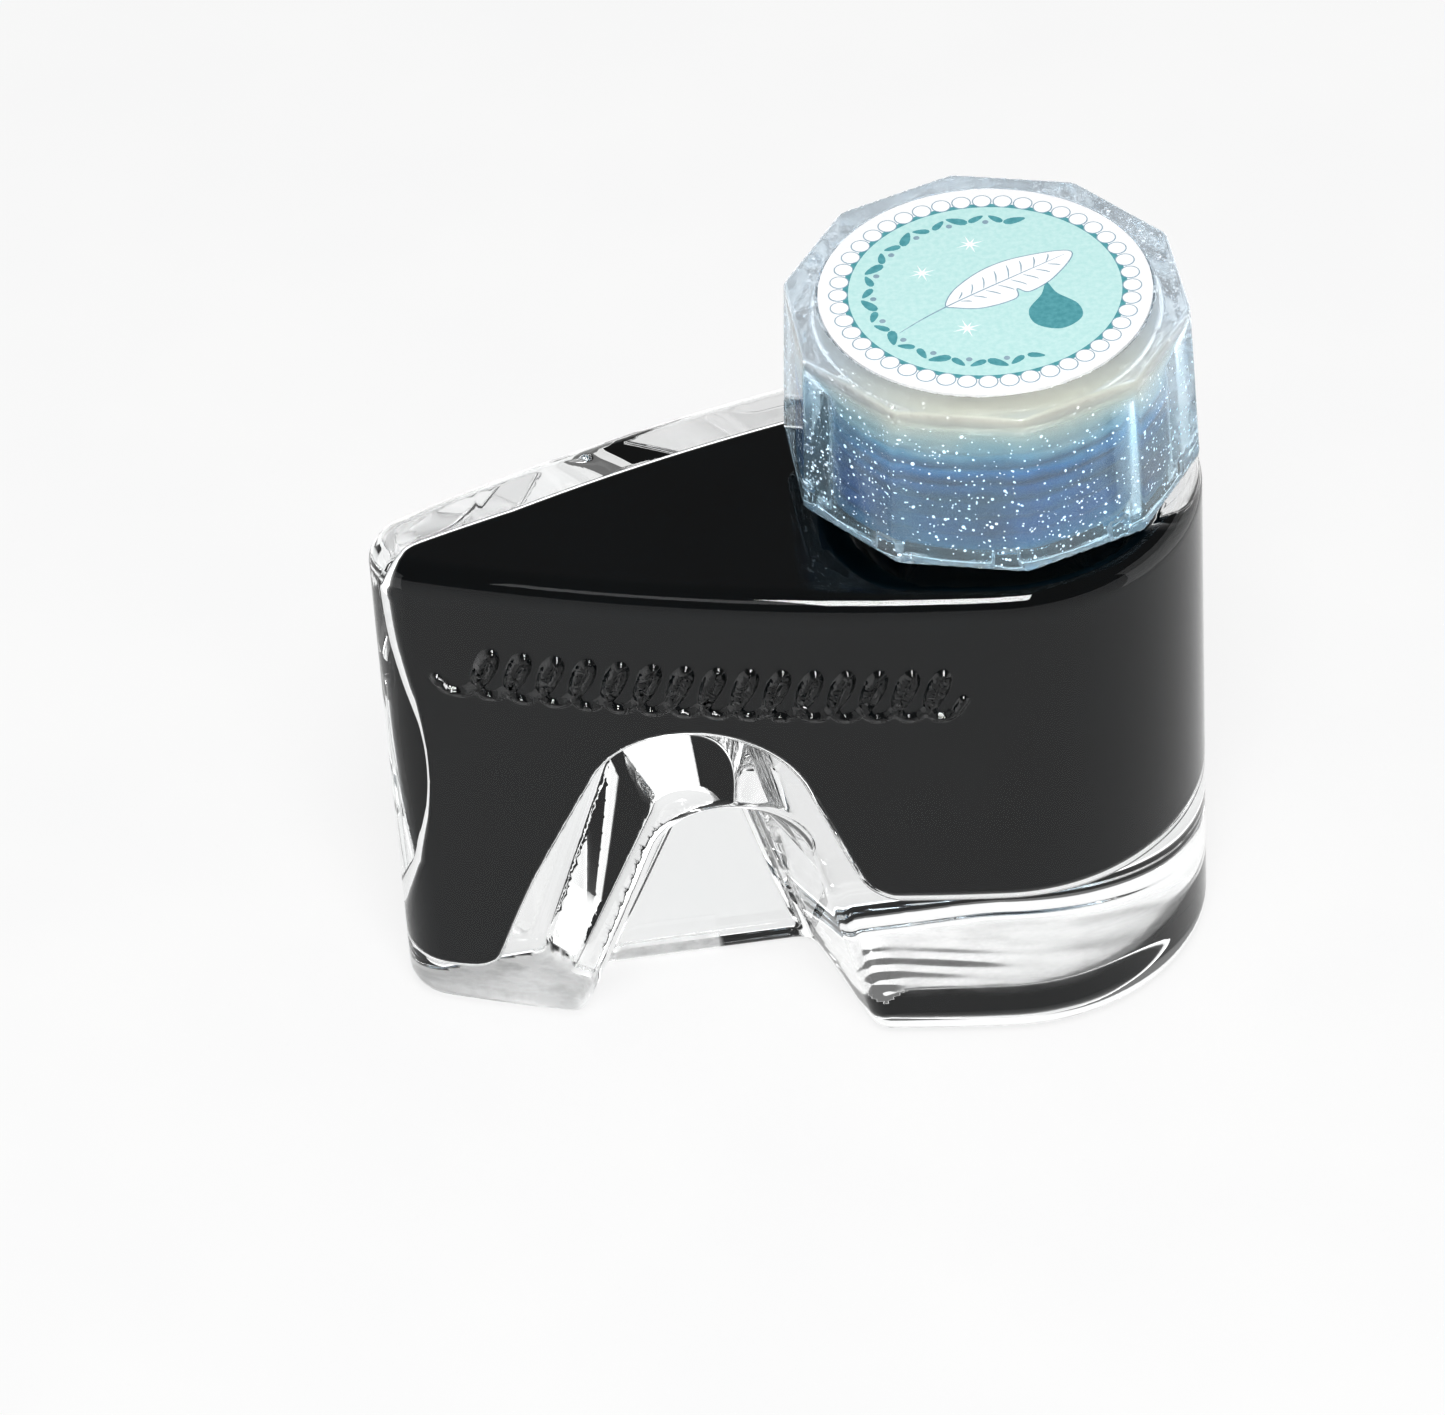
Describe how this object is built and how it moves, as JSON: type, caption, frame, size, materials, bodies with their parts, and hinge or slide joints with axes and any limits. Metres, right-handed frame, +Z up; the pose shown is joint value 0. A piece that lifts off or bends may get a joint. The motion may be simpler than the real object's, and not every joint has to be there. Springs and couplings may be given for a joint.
{
  "type": "ink bottle",
  "caption": "Teardrop glass ink bottle with an arched niche in each side, a screw neck on its round end and a ten-sided screw cap with a round label.",
  "frame": {"origin": "bottom centre of the object's box, on the surface that the bottle stands on", "axes": "+Z up; +X along the bottle from its narrow end to the round end under the cap; +Y across it"},
  "size_m": [0.0686, 0.0342, 0.0656],
  "materials": {
    "clear_glass": "clear polished moulded glass",
    "ink": "liquid, nearly black with a teal cast",
    "cap_plastic": "translucent pale blue-grey moulded plastic with fine glitter",
    "insert_plastic": "translucent blue moulded plastic",
    "liner_foam": "closed-cell white foam",
    "label_print": "printed satin film with a mint field and a white rim"
  },
  "bodies": {
    "bottle": {"glass_bottle": "clear_glass", "ink": "ink"},
    "liner": {"sealing_liner": "liner_foam"},
    "cap": {"cap_shell": "cap_plastic", "cap_insert": "insert_plastic", "round_label": "label_print"}
  },
  "joints": [
    {"name": "cap_rise", "type": "slide", "parent": "bottle", "child": "liner", "axis": [0, 0, 1], "range_m": [0, 0.0119]},
    {"name": "cap_turn", "type": "hinge", "parent": "liner", "child": "cap", "pos_m": [0.01713, 0, 0.0503], "axis": [0, 0, 1], "range_deg": [0, 1350]}
  ],
  "couplings": [
    {"joint": "cap_turn", "follows": "cap_rise", "rad_per_m": 1979}
  ]
}
